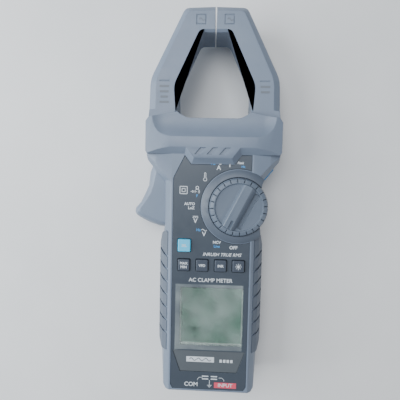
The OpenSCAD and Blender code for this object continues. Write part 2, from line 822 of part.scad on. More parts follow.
module rear_label() color([0.7, 0.72, 0.74]) {
    slab(soften(box_outline(43.6, 25.6, 0, -24), [2, 2, 2, 2]), 0.4, 0.9);
}

module case_screws() color(steel) {
    for (spot = screw_spots) translate([spot.x, spot.y, 2.2]) {
        difference() {
            union() {
                cylinder(r = screw_head_r, h = 2.6);
                cylinder(r = screw_r - 0.16, h = 26);
            }
            translate([-2, -0.5, -eps]) cube([4, 1, 1.4]);
            translate([-0.5, -2, -eps]) cube([1, 4, 1.4]);
        }
    }
}

// ---------- sockets ----------

module socket(x) {
    difference() {
        rod_y(socket_r, bottom_y, bottom_y + socket_l, x, socket_z);
        rod_y(shroud_r, bottom_y - 1, bottom_y + 16, x, socket_z);
        rod_y(contact_r + 0.02, bottom_y + 2, bottom_y + socket_l + 1, x, socket_z);
    }
}

module contact(x) {
    difference() {
        union() {
            rod_y(contact_r, bottom_y + 3, bottom_y + 3 + contact_l, x, socket_z);
            // solder tail up to the board
            translate([x - 1, bottom_y + 24, socket_z + 1]) cube([2, 0.8, board_z - socket_z - 1.05]);
            rod_y(2.2, bottom_y + 3 + contact_l - eps, bottom_y + 24.8, x, socket_z);
        }
        rod_y(socket_bore_r, bottom_y, bottom_y + 3 + contact_l - 1.5, x, socket_z);
    }
}

module com_socket() color(jet) socket(-socket_x);
module input_socket() color([0.68, 0.10, 0.13]) socket(socket_x);
module com_contact() color([0.85, 0.68, 0.3]) contact(-socket_x);
module input_contact() color([0.85, 0.68, 0.3]) contact(socket_x);

// ---------- jaws (drawn for the left side) ----------

tip_x = tip_gap / 2;
jaw_full = [[-tip_x, 121.5], [-tip_x, top_y], [-22, top_y - 0.7], [-46.4, 89.5], [-jaw_edge_x, 62.2],
    [-26.6, 66.4], [-27.3, 85.4], [-10.9, 121.5]];
jaw_flat = [[-tip_x, 123.1], [-tip_x, top_y - 4.2], [-19.5, top_y - 4.6], [-41.6, 88.5], [-42.2, 61.9],
    [-27.6, 65.9], [-29, 84.6], [-11.2, 123.1]];
jaw_cuts = [0, 0, 3, 5, 0, 0, 4, 3];

function jaw_ring(f) = soften(mix(jaw_full, jaw_flat, f), jaw_cuts);
// The outer edge is bevelled deeper than the inner one
function jaw_ring_outer(f) = soften([for (i = [0:len(jaw_full) - 1])
    (i >= 1 && i <= 4) ? jaw_full[i] + (jaw_flat[i] - jaw_full[i]) * f : jaw_full[i]], jaw_cuts);

root_outline = [[-46.4, 67], [-47.6, 54], [-47.6, 47.2], [-45.4, 43.4], [-pivot_x, pivot_y],
    [-24.4, pivot_y + 3], [-24.4, 50], [-27.4, 58], [-28.2, 69]];

module jaw_form() {
    stack([[jaw_ring(0.75), jaw_rear_z - 1.2], [jaw_ring(0), jaw_rear_z + 2.4], [jaw_ring(0), jaw_front_z - 4],
        [jaw_ring_outer(0.55), jaw_front_z - 1.6], [jaw_ring(1), jaw_front_z]]);
}

// The part of each shell that reaches down into the shoulder
module root_form(low, high) {
    slab(root_outline, low, high);
    rod(hub_r, low, min(high, hub_top_z), -pivot_x, pivot_y);
}

core_outline = [[-tip_x - 0.6, 126.2], [-tip_x - 0.6, 132.4], [-17.2, 132.2], [-38.8, 88], [-39.6, 59],
    [-29.4, 51.6], [-29.4, 39.6], [-0.8, 39.6], [-0.8, 47.8], [-21.6, 47.8], [-22.4, 53], [-31.4, 63.5],
    [-31.8, 84.4], [-13.6, 126]];

// The hollow of both jaw shells
module jaw_hollow() {
    hollow = inset(soften(jaw_full, jaw_cuts), jaw_wall);
    slab(hollow, jaw_rear_z + jaw_wall, jaw_front_z - 4);
    slab(inset(hollow, 2.2), jaw_rear_z + jaw_wall, jaw_front_z - jaw_wall);
    slab(core_room(), core_low_z - 0.2, core_high_z + 0.2);
    // the root's own space around the core limb
    slab([[-26, 38.5], [-20, 38.5], [-20, 55], [-27.6, 55], [-31, 62], [-31, 68], [-41, 68], [-41, 60],
        [-29.6, 53],
        [-29.6, 38.5]], core_low_z - 0.2, core_high_z + 0.2);
}

function core_room() = inset(core_outline, -0.35);

module jaw_bosses() {
    for (spot = jaw_screw_spots) rod(2.7, jaw_rear_z + 1, jaw_front_z - 2.6, spot.x, spot.y);
}

module jaw_bores() {
    rod(pin_room_r, 0, 45, -pivot_x, pivot_y);
}

module jaw_marks(left) {
    depth = 0.35;
    // square symbols near the tips, and a short line above the rating lines
    square_x = left ? -10.2 : -9.6;
    difference() {
        slab(box_outline(7, 7, square_x, 129.7), jaw_front_z - depth, jaw_front_z + 1);
        slab(box_outline(5.6, 5.6, square_x, 129.7), jaw_front_z - 2, jaw_front_z + 2);
    }
    slab(box_outline(7.2, 0.7, -35.6, 87.4), jaw_front_z - depth, jaw_front_z + 1);
}

module jaw_front(left) {
    difference() {
        union() {
            difference() {
                union() {
                    jaw_form();
                    root_form(jaw_mid_z, jaw_front_z);
                }
                jaw_hollow();
            }
            intersection() {
                jaw_bosses();
                jaw_form();
            }
        }
        translate([-70, 0, -1]) cube([80, 160, jaw_mid_z + 1]);
        jaw_bores();
        for (spot = jaw_screw_spots) rod(jaw_screw_r - 0.12, jaw_mid_z - 1, jaw_front_z - 4.5, spot.x,
            spot.y);
        jaw_marks(left);
    }
}

module jaw_rear() {
    difference() {
        union() {
            difference() {
                union() {
                    jaw_form();
                    root_form(root_floor_z, jaw_mid_z);
                }
                jaw_hollow();
            }
            intersection() {
                jaw_bosses();
                jaw_form();
            }
        }
        translate([-70, 0, jaw_mid_z]) cube([80, 160, 40]);
        translate([-70, 0, jaw_rear_z - 5]) cube([80, 160, 5]);
        jaw_bores();
        for (spot = jaw_screw_spots) {
            rod(jaw_screw_r + 0.15, 0, jaw_mid_z + 1, spot.x, spot.y);
            rod(2.5, 0, jaw_rear_z + 2.6, spot.x, spot.y);
        }
        for (spot = rocker_screw_spots) rod(1, 0, root_floor_z + 1.9, spot.x, spot.y);
    }
}

module core() {
    slab(core_outline, core_low_z, core_high_z);
}

// Winding around the straight leg of the core
module coil() {
    difference() {
        slab(soften([[-29.6, 68], [-29.6, 83], [-43.6, 83], [-43.6, 68]], [2, 2, 2, 2]), 9.2, 32);
        slab([[-31.2, 60], [-31.2, 90], [-40.2, 90], [-40.2, 60]], core_low_z - 0.3, core_high_z + 0.3);
    }
}

function involute(r) = let (t = sqrt((r / gear_base_r) ^ 2 - 1)) t * 180 / PI - atan(t);
function tooth_half(r) = 90 / gear_teeth - gear_slack + involute(gear_pitch_r) - involute(r);
function polar(r, a) = [r * cos(a), r * sin(a)];

// One gear tooth, pointing at the given angle
module tooth(angle) {
    steps = 4;
    rs = [for (k = [0:steps]) gear_root_r + (gear_tip_r - gear_root_r) * k / steps];
    polygon(concat([polar(gear_root_r - 1, angle - tooth_half(gear_root_r))],
        [for (r = rs) polar(r, angle - tooth_half(r))],
        [for (k = [steps:-1:0]) polar(rs[k], angle + tooth_half(rs[k]))],
        [polar(gear_root_r - 1, angle + tooth_half(gear_root_r))]));
}

rocker_screw_spots = [[-43, 52], [-29.5, 56]];

// Lever plate under a jaw root: hub, gear sector and, on the left, the trigger's arm
module rocker(first_angle, with_arm) {
    difference() {
        translate([-pivot_x, pivot_y, jaw_rear_z]) linear_extrude(rocker_top_z - jaw_rear_z) {
            circle(r = hub_r - 0.4);
            intersection() {
                circle(r = gear_root_r);
                polygon([[0, -9], polar(60, first_angle - 2.6), [60, 4.3], [0, 8.6]]);
            }
            for (k = [0:3]) tooth(first_angle + k * gear_step);
            // pad under the jaw root
            polygon([[-9, 0], [9, 0], [9, 15], [2, 17.6], [-9.5, 17.6], [-10.8, 4.4]]);
            if (with_arm) polygon([[-9, -3], [-8.6, -9], [-2.6, -18.6], [2.6, -18.6], [8, -4]]);
        }
        rod(pin_room_r, 0, 20, -pivot_x, pivot_y);
        for (spot = rocker_screw_spots) {
            rod(1.25, 0, 20, spot.x, spot.y);
            rod(2.3, 0, jaw_rear_z + 1.6, spot.x, spot.y);
        }
        if (with_arm) {
            rod(1.25, 0, 20, trigger_screw_spot.x, trigger_screw_spot.y);
            rod(2.3, 0, jaw_rear_z + 1.6, trigger_screw_spot.x, trigger_screw_spot.y);
        }
    }
}

module rocker_screws() {
    for (spot = rocker_screw_spots)
        translate([spot.x, spot.y, jaw_rear_z + 0.05]) screw(0.95, 2, 1.4, root_floor_z - jaw_rear_z + 1.6);
}

module jaw_screws() {
    for (spot = jaw_screw_spots)
        translate([spot.x, spot.y, jaw_rear_z + 0.6]) screw(jaw_screw_r - 0.15, 2.2, 1.8, 22);
}

module left_jaw_front() color(case_grey) jaw_front(true);
module left_jaw_rear() color(case_grey) jaw_rear();
module right_jaw_front() color(case_grey) mirror([1, 0, 0]) jaw_front(false);
module right_jaw_rear() color(case_grey) mirror([1, 0, 0]) jaw_rear();
module left_core() color([0.30, 0.30, 0.33]) core();
module right_core() color([0.30, 0.30, 0.33]) mirror([1, 0, 0]) core();
module left_coil() color([0.72, 0.36, 0.16]) coil();
module right_coil() color([0.72, 0.36, 0.16]) mirror([1, 0, 0]) coil();
module left_rocker() color([0.62, 0.63, 0.65]) rocker(-3 * gear_step, true);
module right_rocker() color([0.62, 0.63, 0.65]) mirror([1, 0, 0]) rocker(-2.5 * gear_step, false);
module left_rocker_screws() color(steel) rocker_screws();
module right_rocker_screws() color(steel) mirror([1, 0, 0]) rocker_screws();
module left_jaw_screws() color(steel) jaw_screws();
module right_jaw_screws() color(steel) mirror([1, 0, 0]) jaw_screws();
module left_pivot_pin() color(steel) rod(pin_r, 2.6, 39.2, -pivot_x, pivot_y);
module right_pivot_pin() color(steel) rod(pin_r, 2.6, 39.2, pivot_x, pivot_y);

// ---------- trigger ----------

trigger_face = [[-34, -15.6], [-33.4, 18], [-33.4, 29.6], [-41.6, 29.6], [-42.6, 22.4], [-44.4, 13],
    [-46.4, 7], [-50, 0.8], [-54.2, -4.8], [-54.6, -6.2], [-53.8, -7.6], [-51, -9], [-46, -11.6], [-39,
        -14.4]];
trigger_screw_spot = [-36.6, 26.6];

module trigger() color(case_grey) {
    difference() {
        stack([[mix(trigger_outline, trigger_face, 0.3), trigger_low_z],
            [trigger_outline, trigger_low_z + 2],
            [trigger_outline, 20.5],
            [mix(trigger_outline, trigger_face, 0.45), 25],
            [trigger_face, trigger_high_z]]);
        rod(0.9, trigger_low_z - 1, trigger_low_z + 6, trigger_screw_spot.x, trigger_screw_spot.y);
        // pocket that holds the spring's end
        translate([-34.9, spring_y, spring_z]) rotate([0, 90, 0]) cylinder(r = 4.2, h = 5);
    }
}

module trigger_screws() color(steel) {
    translate([trigger_screw_spot.x, trigger_screw_spot.y, jaw_rear_z + 0.05]) screw(0.85, 2, 1.4, 9);
}

// Compression spring between the trigger and its seat in the rear case
module trigger_spring() color(steel) {
    turns = 6;
    steps = 16;
    sides = 8;
    coil_r = 3.2;
    wire_r = 0.45;
    start_x = -34.3;
    length = spring_seat_x + start_x * -1 - 0.55;
    count = turns * steps;
    points = [for (i = [0:count]) for (k = [0:sides - 1])
        let (a = 360 * i / steps, b = 360 * k / sides, r = coil_r + wire_r * cos(b))
        [start_x + length * i / count + wire_r * sin(b), spring_y + r * cos(a), spring_z + r * sin(a)]];
    skin = [for (i = [0:count - 1]) for (k = [0:sides - 1])
        let (n = (k + 1) % sides, a = i * sides, b = a + sides)
        each [[a + k, b + k, b + n], [a + k, b + n, a + n]]];
    first = [for (k = [0:sides - 1]) k];
    last = [for (k = [sides - 1:-1:0]) count * sides + k];
    polyhedron(points, concat(skin, [first, last]));
}

rear_case();
front_case();
front_panel();
label_plate();
left_grip();
right_grip();
display_window();
display_film();
lcd_glass();
lcd_frame();
backlight();
zebra_strips();
keypad();
select_key();
peak_key();
filter_key();
inrush_key();
light_key();
hold_key();
hold_switch();
knob();
knob_rotor();
wiper_contacts();
main_board();
board_chips();
board_screws();
buzzer();
surge_parts();
battery();
battery_snap();
battery_leads();
battery_cover();
battery_cover_screw();
rear_label();
com_socket();
com_contact();
input_socket();
input_contact();
left_jaw_front();
left_jaw_rear();
right_jaw_front();
right_jaw_rear();
left_core();
right_core();
left_coil();
right_coil();
left_rocker();
right_rocker();
left_rocker_screws();
right_rocker_screws();
left_jaw_screws();
right_jaw_screws();
left_pivot_pin();
right_pivot_pin();
trigger();
trigger_screws();
trigger_spring();
case_screws();
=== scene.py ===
import json
import math

import bmesh
import bpy
from mathutils import Matrix, Vector


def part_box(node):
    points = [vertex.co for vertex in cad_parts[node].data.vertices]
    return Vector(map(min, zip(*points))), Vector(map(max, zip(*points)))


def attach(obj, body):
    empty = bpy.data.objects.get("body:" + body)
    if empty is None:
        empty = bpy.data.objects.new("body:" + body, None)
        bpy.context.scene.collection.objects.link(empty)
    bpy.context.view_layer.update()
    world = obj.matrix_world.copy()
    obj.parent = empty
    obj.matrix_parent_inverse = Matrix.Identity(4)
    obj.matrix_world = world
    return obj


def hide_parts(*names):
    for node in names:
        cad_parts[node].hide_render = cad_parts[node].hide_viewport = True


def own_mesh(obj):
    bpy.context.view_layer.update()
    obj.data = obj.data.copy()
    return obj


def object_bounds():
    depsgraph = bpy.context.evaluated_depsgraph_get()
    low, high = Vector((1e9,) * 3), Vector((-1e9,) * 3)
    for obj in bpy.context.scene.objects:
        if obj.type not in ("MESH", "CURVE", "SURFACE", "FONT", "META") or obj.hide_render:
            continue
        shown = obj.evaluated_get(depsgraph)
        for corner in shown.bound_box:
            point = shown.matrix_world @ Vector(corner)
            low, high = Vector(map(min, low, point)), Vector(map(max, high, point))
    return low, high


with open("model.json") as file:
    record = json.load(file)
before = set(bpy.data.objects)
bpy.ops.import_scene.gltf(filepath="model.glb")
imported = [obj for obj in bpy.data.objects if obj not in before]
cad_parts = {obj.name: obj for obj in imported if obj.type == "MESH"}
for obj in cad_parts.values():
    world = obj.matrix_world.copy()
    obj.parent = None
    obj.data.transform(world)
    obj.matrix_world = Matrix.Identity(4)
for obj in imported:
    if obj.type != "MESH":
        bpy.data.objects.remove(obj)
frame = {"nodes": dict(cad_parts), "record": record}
cad_low, cad_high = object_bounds()
nodes = frame["nodes"]
MM = 0.001

# ---------- places, from the CAD frame ----------


def centre(node):
    low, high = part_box(node)
    return (low + high) / 2


def top_of(node):
    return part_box(node)[1].z


knob_mid = centre("knob")
panel_top = top_of("front_panel")
panel_low, panel_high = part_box("front_panel")
window_mid = centre("display_window")
jaw_top = top_of("left_jaw_front")
LIFT = 0.02 * MM  # how far printed ink stands off its surface
INK = 0.05 * MM  # thickness of printed ink
COLLAR_SHADE_R = 27.4 * MM  # reach of the painted shade on the ring round the dial


# ---------- materials ----------


class Nodes:
    """A material's node tree, with short calls for adding nodes."""

    def __init__(self, name):
        self.material = bpy.data.materials.new(name)
        self.material.use_nodes = True
        self.tree = self.material.node_tree
        self.shader = self.tree.nodes["Principled BSDF"]
        self.place = self.add("ShaderNodeTexCoord").outputs["Object"]

    def add(self, kind, **values):
        node = self.tree.nodes.new(kind)
        for key, value in values.items():
            setattr(node, key, value)
        return node

    def link(self, a, b):
        self.tree.links.new(a, b)

    def noise(self, scale, detail=3.0, roughness=0.55, stretch=(1, 1, 1)):
        mapping = self.add("ShaderNodeMapping")
        mapping.inputs["Scale"].default_value = stretch
        self.link(self.place, mapping.inputs["Vector"])
        node = self.add("ShaderNodeTexNoise")
        node.inputs["Scale"].default_value = scale
        node.inputs["Detail"].default_value = detail
        node.inputs["Roughness"].default_value = roughness
        self.link(mapping.outputs["Vector"], node.inputs["Vector"])
        return node.outputs["Fac"]

    def ramp(self, source, stops):
        node = self.add("ShaderNodeValToRGB")
        elements = node.color_ramp.elements
        while len(elements) < len(stops):
            elements.new(0.5)
        for element, (position, colour) in zip(elements, stops):
            element.position = position
            element.color = (*colour, 1)
        self.link(source, node.inputs["Fac"])
        return node.outputs["Color"]

    def level(self, source, low, high):
        node = self.add("ShaderNodeMapRange")
        node.inputs["From Min"].default_value = 0.3
        node.inputs["From Max"].default_value = 0.7
        node.inputs["To Min"].default_value = low
        node.inputs["To Max"].default_value = high
        self.link(source, node.inputs["Value"])
        return node.outputs["Result"]

    def bump(self, source, depth, strength=1.0, edge=0.0):
        node = self.add("ShaderNodeBump")
        node.inputs["Strength"].default_value = strength
        node.inputs["Distance"].default_value = depth
        self.link(source, node.inputs["Height"])
        if edge:
            soft = self.add("ShaderNodeBevel", samples=6)
            soft.inputs["Radius"].default_value = edge
            self.link(soft.outputs["Normal"], node.inputs["Normal"])
        self.link(node.outputs["Normal"], self.shader.inputs["Normal"])

    def set(self, **values):
        for key, value in values.items():
            self.shader.inputs[key.replace("_", " ")].default_value = value


def shade(colour, factor):
    return tuple(min(1.0, c * factor) for c in colour)


def plastic(name, colour, rough=0.45, grain=1500, depth=0.03 * MM, edge=0.5 * MM, blotch=0.05):
    """Moulded plastic: fine spark texture, slow colour drift and rubbed patches."""
    n = Nodes(name)
    drift = n.noise(38, 4)
    n.link(n.ramp(drift, [(0.3, shade(colour, 1 - blotch)), (0.7, shade(colour, 1 + blotch))]),
           n.shader.inputs["Base Color"])
    n.link(n.level(n.noise(150, 4), rough - 0.05, rough + 0.07), n.shader.inputs["Roughness"])
    n.bump(n.noise(grain, 2), depth, 0.35, edge)
    n.set(IOR=1.48)
    return n.material


def metal(name, colour, rough=0.3, brushed=(1, 1, 12)):
    """Plated or drawn metal with fine lines and a little tarnish."""
    n = Nodes(name)
    lines = n.noise(900, 3, stretch=brushed)
    n.link(n.ramp(n.noise(120, 5), [(0.3, shade(colour, 0.78)), (0.7, colour)]), n.shader.inputs["Base Color"])
    n.link(n.level(lines, rough - 0.08, rough + 0.12), n.shader.inputs["Roughness"])
    n.bump(lines, 0.01 * MM, 0.3)
    n.set(Metallic=1.0)
    return n.material


def gloss(name, colour, rough=0.18, alpha=1.0, clear=0.0):
    n = Nodes(name)
    n.link(n.ramp(n.noise(60, 3), [(0.35, shade(colour, 0.94)), (0.65, shade(colour, 1.05))]),
           n.shader.inputs["Base Color"])
    n.link(n.level(n.noise(240, 3), rough * 0.7, rough * 1.5), n.shader.inputs["Roughness"])
    n.bump(n.noise(300, 2), 0.01 * MM, 0.2)
    n.set(IOR=1.5, Alpha=alpha, Transmission_Weight=clear)
    return n.material


def board_green():
    """Solder mask with copper tracks showing faintly through it."""
    n = Nodes("board_green")
    brick = n.add("ShaderNodeTexBrick")
    brick.inputs["Scale"].default_value = 180
    brick.inputs["Mortar Size"].default_value = 0.03
    brick.inputs["Color1"].default_value = (0.012, 0.10, 0.045, 1)
    brick.inputs["Color2"].default_value = (0.016, 0.13, 0.06, 1)
    brick.inputs["Mortar"].default_value = (0.06, 0.22, 0.10, 1)
    n.link(n.place, brick.inputs["Vector"])
    n.link(brick.outputs["Color"], n.shader.inputs["Base Color"])
    n.link(n.level(n.noise(200), 0.22, 0.4), n.shader.inputs["Roughness"])
    n.bump(brick.outputs["Fac"], 0.03 * MM, 0.4)
    return n.material


def windings():
    """Enamelled wire laid side by side."""
    n = Nodes("windings")
    wave = n.add("ShaderNodeTexWave", bands_direction="Y")
    wave.inputs["Scale"].default_value = 700
    wave.inputs["Distortion"].default_value = 0.4
    n.link(n.place, wave.inputs["Vector"])
    n.link(n.ramp(wave.outputs["Fac"], [(0.1, (0.16, 0.05, 0.02)), (0.7, (0.62, 0.25, 0.09))]),
           n.shader.inputs["Base Color"])
    n.link(n.level(n.noise(300), 0.25, 0.45), n.shader.inputs["Roughness"])
    n.bump(wave.outputs["Fac"], 0.15 * MM, 0.8)
    n.set(Metallic=0.7)
    return n.material


def laminations():
    """Stacked silicon-steel sheets."""
    n = Nodes("laminations")
    wave = n.add("ShaderNodeTexWave", bands_direction="Z")
    wave.inputs["Scale"].default_value = 450
    wave.inputs["Distortion"].default_value = 0.15
    n.link(n.place, wave.inputs["Vector"])
    n.link(n.ramp(wave.outputs["Fac"], [(0.05, (0.03, 0.03, 0.035)), (0.5, (0.17, 0.17, 0.18))]),
           n.shader.inputs["Base Color"])
    n.link(n.level(n.noise(260), 0.35, 0.6), n.shader.inputs["Roughness"])
    n.bump(wave.outputs["Fac"], 0.05 * MM, 0.5)
    n.set(Metallic=0.8)
    return n.material


def display_glow():
    """A switched-off liquid crystal: grey-green, paler towards its lower middle."""
    n = Nodes("display_glow")
    n.link(n.ramp(n.noise(26, 2, 0.4), [(0.34, (0.100, 0.190, 0.130)), (0.64, (0.190, 0.320, 0.245))]),
           n.shader.inputs["Base Color"])
    n.link(n.level(n.noise(180), 0.28, 0.4), n.shader.inputs["Roughness"])
    n.bump(n.noise(1800, 1), 0.004 * MM, 0.2)
    return n.material


CASE = (0.158, 0.196, 0.262)
PANEL = (0.052, 0.065, 0.084)
case_plastic = plastic("case_plastic", CASE, 0.42)
jaw_plastic = plastic("jaw_plastic", shade(CASE, 1.02), 0.42)
grip_rubber = plastic("grip_rubber", (0.098, 0.120, 0.158), 0.55, 1100, 0.05 * MM)
panel_plastic = plastic("panel_plastic", PANEL, 0.36, 1900, 0.015 * MM, 0.25 * MM, 0.04)
label_plastic = plastic("label_plastic", (0.088, 0.100, 0.112), 0.4, 1900, 0.015 * MM, 0.2 * MM)
trigger_plastic = plastic("trigger_plastic", shade(CASE, 1.08), 0.42)
knob_plastic = plastic("knob_plastic", (0.118, 0.148, 0.196), 0.42, 1700, 0.02 * MM, 0.3 * MM)
key_plastic = plastic("key_plastic", (0.050, 0.062, 0.085), 0.38, 1900, 0.015 * MM, 0.3 * MM)
cyan_plastic = plastic("cyan_plastic", (0.075, 0.52, 0.80), 0.4, 1900, 0.015 * MM, 0.3 * MM)
hold_plastic = plastic("hold_plastic", (0.015, 0.22, 0.52), 0.4, 1900, 0.015 * MM, 0.3 * MM)
white_plastic = plastic("white_plastic", (0.75, 0.75, 0.70), 0.5)
black_plastic = plastic("black_plastic", (0.018, 0.018, 0.021), 0.4)
red_plastic = plastic("red_plastic", (0.45, 0.02, 0.035), 0.3)
silicone = plastic("silicone", (0.22, 0.235, 0.25), 0.6, 900)
black_rubber = plastic("black_rubber", (0.015, 0.015, 0.017), 0.75, 900)
blue_enamel = gloss("blue_enamel", (0.03, 0.10, 0.38), 0.2)
jacket = gloss("battery_jacket", (0.42, 0.30, 0.08), 0.25)
lead_skin = gloss("lead_skin", (0.45, 0.02, 0.02), 0.3)
label_paper = plastic("label_paper", (0.42, 0.44, 0.46), 0.35, 2500, 0.008 * MM, 0.1 * MM)
clear_window = gloss("clear_window", (0.80, 0.90, 0.87), 0.06, clear=1.0)
steel = metal("steel", (0.55, 0.56, 0.58))
zinc = metal("zinc", (0.46, 0.47, 0.49), 0.4, (12, 1, 1))
brass = metal("brass", (0.72, 0.52, 0.20), 0.22)
white_ink = plastic("white_ink", (0.62, 0.66, 0.70), 0.5, 2500, 0.004 * MM, 0)
blue_ink = plastic("blue_ink", (0.05, 0.30, 0.66), 0.5, 2500, 0.004 * MM, 0)
pink_ink = plastic("pink_ink", (0.66, 0.085, 0.13), 0.45, 2500, 0.004 * MM, 0)
dark_ink = plastic("dark_ink", (0.02, 0.024, 0.03), 0.5, 2500, 0.004 * MM, 0)
grey_ink = plastic("grey_ink", (0.13, 0.15, 0.18), 0.5, 2500, 0.004 * MM, 0)

SLOT_MATERIALS = {
    "case": case_plastic, "jaw": jaw_plastic, "grip": grip_rubber, "trigger": trigger_plastic,
    "panel": panel_plastic, "label": label_plastic, "window": clear_window, "lcd": display_glow(),
    "white_plastic": white_plastic, "rubber": black_rubber, "keypad": silicone, "select_key": cyan_plastic,
    "key": key_plastic, "hold_key": hold_plastic, "knob": knob_plastic, "contact": brass,
    "board": board_green(), "black_plastic": black_plastic, "red_plastic": red_plastic,
    "blue_part": blue_enamel, "battery": jacket, "lead": lead_skin, "rear_label": label_paper,
    "core": laminations(), "copper": windings(), "rocker": zinc, "steel": steel,
}


# a darker copy of the case plastic, used as painted shade on the ring round the dial
collar_painted_shade = plastic("collar_painted_shade", (0.088, 0.108, 0.142), 0.42)


def paint(obj, material):
    obj.data.materials.clear()
    obj.data.materials.append(material)


node_slots = {s["node"]: s["material_slot"] for s in frame["record"]["subparts"]}
node_bodies = {n: b for b, names in frame["record"]["behaviour"]["bodies"].items() for n in names}
for node, slot_name in node_slots.items():
    if slot_name in SLOT_MATERIALS:
        paint(nodes[node], SLOT_MATERIALS[slot_name])


# ---------- shells with rounded edges ----------


def shell(node, width=0.45 * MM, segments=2, angle=26):
    """A copy of a CAD node with its seams welded and its edges rounded, in the node's place."""
    mesh = bpy.data.meshes.new(node + "_shell")
    form = bmesh.new()
    form.from_mesh(nodes[node].data)
    bmesh.ops.remove_doubles(form, verts=form.verts, dist=0.004 * MM)
    bmesh.ops.dissolve_limit(form, angle_limit=math.radians(1.0), verts=form.verts, edges=form.edges)
    form.to_mesh(mesh)
    form.free()
    mesh.shade_smooth()
    mesh.set_sharp_from_angle(angle=math.radians(angle))
    obj = bpy.data.objects.new(node + "_shell", mesh)
    bpy.context.scene.collection.objects.link(obj)
    bevel = obj.modifiers.new("edges", "BEVEL")
    bevel.width = width
    bevel.segments = segments
    bevel.limit_method = "ANGLE"
    bevel.angle_limit = math.radians(angle)
    bevel.use_clamp_overlap = True
    bevel.harden_normals = True
    paint(obj, SLOT_MATERIALS[node_slots[node]])
    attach(obj, node_bodies[node])
    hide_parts(node)
    return obj


# ---------- printed marks ----------


class Ink:
    """Thin printed shapes of one colour on one body, gathered into one piece."""

    def __init__(self, name, body, material):
        self.name, self.body, self.material = name, body, material
        self.form = bmesh.new()

    def prism(self, points, z, thick=INK):
        """A thin plate with the given outline (x, y), from z upwards."""
        low = [self.form.verts.new((x, y, z + LIFT)) for x, y in points]
        high = [self.form.verts.new((x, y, z + LIFT + thick)) for x, y in points]
        count = len(points)
        self.form.faces.new(high)
        self.form.faces.new(low[::-1])
        for i in range(count):
            k = (i + 1) % count
            self.form.faces.new((low[i], low[k], high[k], high[i]))

    def bar(self, a, b, width, z, thick=INK):
        """A straight bar from a to b."""
        a, b = Vector(a), Vector(b)
        side = (b - a).normalized().orthogonal() * width / 2
        self.prism([a - side, b - side, b + side, a + side], z, thick)

    def line(self, points, width, z):
        for a, b in zip(points, points[1:]):
            self.bar(a, b, width, z)

    def ring(self, middle, radius, width, z, start=0.0, end=360.0, steps=36):
        points = [(middle[0] + radius * math.cos(math.radians(start + (end - start) * i / steps)),
                   middle[1] + radius * math.sin(math.radians(start + (end - start) * i / steps)))
                  for i in range(steps + 1)]
        self.line(points, width, z)

    def disc(self, middle, radius, z, steps=24):
        self.prism([(middle[0] + radius * math.cos(2 * math.pi * i / steps),
                     middle[1] + radius * math.sin(2 * math.pi * i / steps)) for i in range(steps)], z)

    def wave(self, middle, length, height, width, z, steps=14):
        """One period of a sine, for alternating current."""
        self.line([(middle[0] + length * (i / steps - 0.5),
                    middle[1] + height * math.sin(2 * math.pi * i / steps)) for i in range(steps + 1)], width, z)

    def word(self, text, middle, size, z, slant=0.0, turn=0.0, weight=0.0):
        curve = bpy.data.curves.new("word", "FONT")
        curve.body = text
        curve.size = size
        curve.align_x = "CENTER"
        curve.align_y = "CENTER"
        curve.shear = slant
        curve.offset = weight
        curve.extrude = INK / 2
        curve.resolution_u = 3
        obj = bpy.data.objects.new("word", curve)
        bpy.context.scene.collection.objects.link(obj)
        bpy.context.view_layer.update()
        mesh = bpy.data.meshes.new_from_object(obj.evaluated_get(bpy.context.evaluated_depsgraph_get()))
        place = Matrix.Translation((middle[0], middle[1], z + LIFT + INK / 2))
        mesh.transform(place @ Matrix.Rotation(math.radians(turn), 4, "Z"))
        self.form.from_mesh(mesh)
        bpy.data.objects.remove(obj)
        bpy.data.curves.remove(curve)
        bpy.data.meshes.remove(mesh)

    def done(self):
        mesh = bpy.data.meshes.new(self.name)
        self.form.to_mesh(mesh)
        self.form.free()
        obj = bpy.data.objects.new(self.name, mesh)
        bpy.context.scene.collection.objects.link(obj)
        paint(obj, self.material)
        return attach(obj, self.body)


def paint_collar_shade(shell_object):
    """Paint shade onto the ring of the case that stands round the dial, as a darker copy of the case plastic."""
    shell_object.data.materials.append(collar_painted_shade)
    # faces near the dial and high on the case take the painted shade
    for face in shell_object.data.polygons:
        if all(math.hypot(p.x - knob_mid.x, p.y - knob_mid.y) < COLLAR_SHADE_R and p.z > panel_top - 1.2 * MM
               for p in (shell_object.data.vertices[i].co for i in face.vertices)):
            face.material_index = 1


for node in ("rear_case", "front_case", "left_jaw_front", "right_jaw_front", "left_jaw_rear", "right_jaw_rear",
             "left_grip", "right_grip", "battery_cover"):
    made = shell(node)
    if node == "front_case":
        # the ring round the dial gets painted shade
        paint_collar_shade(made)
shell("trigger", 0.6 * MM, 3)
shell("knob", 0.25 * MM, 2)
for node in ("select_key", "peak_key", "filter_key", "inrush_key", "light_key", "hold_key"):
    shell(node, 0.2 * MM, 2)
shell("front_panel", 0.15 * MM, 2)
shell("label_plate", 0.12 * MM, 2)

# ---------- panel print ----------

white = Ink("panel_print_white", "case", white_ink)
blue = Ink("panel_print_blue", "case", blue_ink)
pink = Ink("panel_print_pink", "case", pink_ink)
z = panel_top
SMALL, MEDIUM, LARGE = 2.7 * MM, 3.3 * MM, 4.4 * MM
BOLD = 0.09 * MM
legend_r = 29.6 * MM


def round_dial(angle, r=legend_r):
    a = math.radians(angle)
    return Vector((knob_mid.x + r * math.cos(a), knob_mid.y + r * math.sin(a)))


def beside(point, dx, dy):
    return (point[0] + dx * MM, point[1] + dy * MM)


